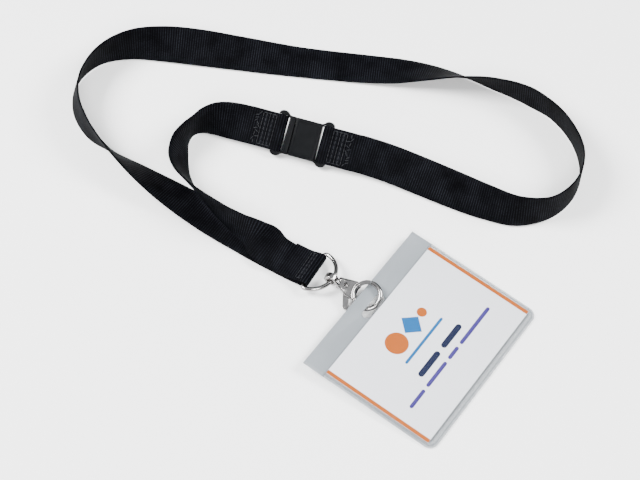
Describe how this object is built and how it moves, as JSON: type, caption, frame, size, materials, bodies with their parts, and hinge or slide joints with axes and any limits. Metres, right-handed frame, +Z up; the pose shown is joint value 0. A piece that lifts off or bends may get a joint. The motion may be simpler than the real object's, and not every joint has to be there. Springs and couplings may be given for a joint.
{
  "type": "lanyard",
  "caption": "Neck lanyard of flat webbing with a breakaway buckle, D-ring, swivel trigger hook and soft badge holder with card.",
  "frame": {"origin": "on the plane the lanyard lies on, under the middle of the box of the buckle, metal parts and badge holder", "axes": "+Z up; +Y away from the badge holder's corner, towards the neck loop's far side; +X from the neck loop's left end to the badge holder"},
  "size_m": [0.2714, 0.2404, 0.0229],
  "materials": {
    "webbing": "woven, matt",
    "thread": "sewn thread, slight sheen",
    "buckle_plastic": "moulded, satin",
    "nickel": "polished nickel plate",
    "spring_steel": "plain",
    "film": "clear, slightly frosted",
    "card": "printed card, satin"
  },
  "bodies": {
    "strap": {"strap_long": "webbing", "stitching_ring": "thread", "stitching_socket": "thread", "buckle_socket": "buckle_plastic"},
    "plug": {"buckle_plug": "buckle_plastic", "stitching_plug": "thread", "strap_short": "webbing"},
    "ring": {"d_ring": "nickel"},
    "swivel": {"swivel_eye": "nickel"},
    "hook": {"hook_body": "nickel", "trigger_rivet": "nickel", "trigger_spring": "spring_steel"},
    "trigger": {"trigger_lever": "nickel"},
    "badge": {"holder_back": "film", "holder_front": "film", "insert_card": "card"}
  },
  "joints": [
    {"name": "buckle_release", "type": "slide", "parent": "strap", "child": "plug", "axis": [-0.9646, 0.2639, 0], "range_m": [0, 0.012], "deforming": ["strap_short"]},
    {"name": "ring_swing", "type": "hinge", "parent": "strap", "child": "ring", "pos_m": [-0.0431, 0.0016, 0.0035], "axis": [-0.471, -0.8821, 0], "range_deg": [0, 75]},
    {"name": "eye_pitch", "type": "hinge", "parent": "ring", "child": "swivel", "pos_m": [-0.0332, -0.0043, 0.00524], "axis": [0.4384, 0.8988, 0], "range_deg": [-45, 0]},
    {"name": "hook_swivel", "type": "hinge", "parent": "swivel", "child": "hook", "pos_m": [-0.0332, -0.0043, 0.00524], "axis": [0.8988, -0.4384, 0], "continuous": true},
    {"name": "trigger_pull", "type": "hinge", "parent": "hook", "child": "trigger", "pos_m": [-0.02597, -0.00772, 0.00527], "axis": [0.1499, 0.3074, -0.9397], "range_deg": [0, 16], "stiffness_Nm_per_rad": 0.02, "springref_deg": -11.46, "deforming": ["trigger_spring"]},
    {"name": "badge_turn", "type": "hinge", "parent": "hook", "child": "badge", "pos_m": [-0.01083, -0.01646, 0.00446], "axis": [-0.8308, 0.5528, 0.064], "range_deg": [0, 110]}
  ]
}
